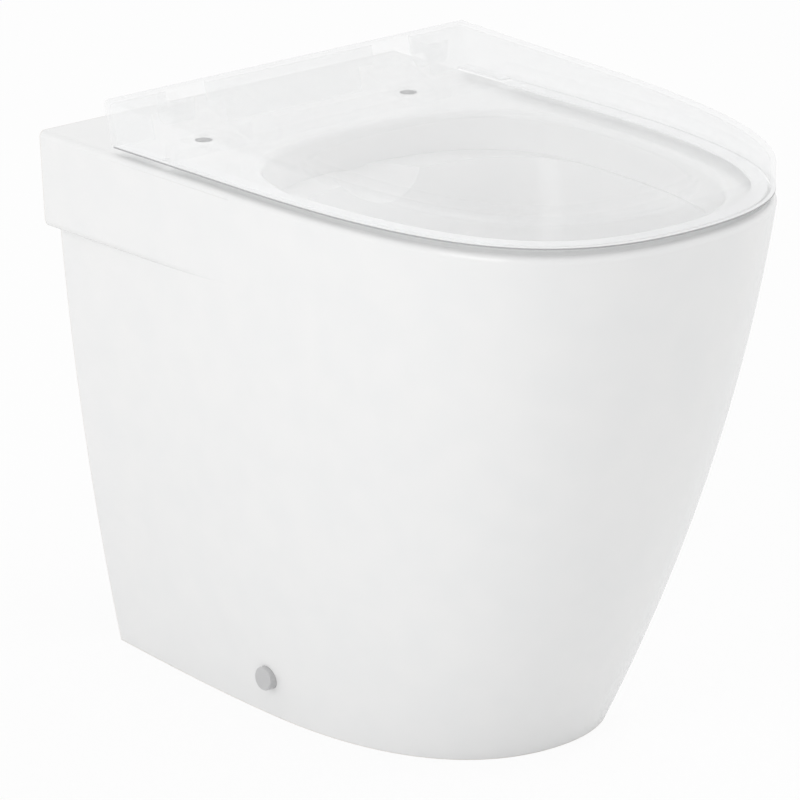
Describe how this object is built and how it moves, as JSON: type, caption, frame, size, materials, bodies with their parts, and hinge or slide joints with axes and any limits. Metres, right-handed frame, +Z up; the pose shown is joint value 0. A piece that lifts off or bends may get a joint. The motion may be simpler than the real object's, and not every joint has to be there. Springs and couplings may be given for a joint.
{
  "type": "high level toilet pan",
  "caption": "Raised-height toilet pan with a flared skirt that stands back to the wall, with a hinged seat and a see-through wrap-over cover.",
  "frame": {"origin": "on the floor, under the middle of the pan's width and length", "axes": "+Y points from the nose to the wall, +Z is up, X runs across the pan"},
  "size_m": [0.3594, 0.5293, 0.4715],
  "materials": {
    "china": "gloss",
    "seat_plastic": "gloss",
    "cover_plastic": "gloss",
    "hinge_plastic": "satin",
    "hinge_metal": "polished",
    "steel": "satin",
    "cap_plastic": "satin",
    "bracket_plastic": "matte",
    "rubber": "matte"
  },
  "bodies": {
    "pan": {"pan_body": "china", "pan_bowl": "china", "pan_inlet": "china", "pan_trap": "china", "hinge_bracket_left": "hinge_metal", "hinge_bracket_right": "hinge_metal", "hinge_gasket_left": "rubber", "hinge_gasket_right": "rubber", "hinge_spindle_left": "steel", "hinge_spindle_right": "steel", "hinge_stud_left": "steel", "hinge_stud_right": "steel", "cone_bush_left": "rubber", "cone_bush_right": "rubber", "hinge_washer_left": "steel", "hinge_washer_right": "steel", "wing_nut_left": "hinge_plastic", "wing_nut_right": "hinge_plastic", "side_sleeve_left": "hinge_plastic", "side_sleeve_right": "hinge_plastic", "side_screw_left": "steel", "side_screw_right": "steel", "side_cap_left": "cap_plastic", "side_cap_right": "cap_plastic", "floor_bracket_left": "bracket_plastic", "floor_bracket_right": "bracket_plastic"},
    "seat": {"seat_ring": "seat_plastic", "seat_buffers": "rubber", "seat_damper": "hinge_plastic"},
    "cover": {"seat_cover": "cover_plastic", "cover_buffers": "rubber", "cover_damper": "hinge_plastic"}
  },
  "joints": [
    {"name": "seat_hinge", "type": "hinge", "parent": "pan", "child": "seat", "pos_m": [0, 0.166, 0.457], "axis": [-1, 0, 0], "range_deg": [0, 93]},
    {"name": "cover_hinge", "type": "hinge", "parent": "seat", "child": "cover", "pos_m": [0, 0.166, 0.457], "axis": [-1, 0, 0], "range_deg": [0, 94]}
  ]
}
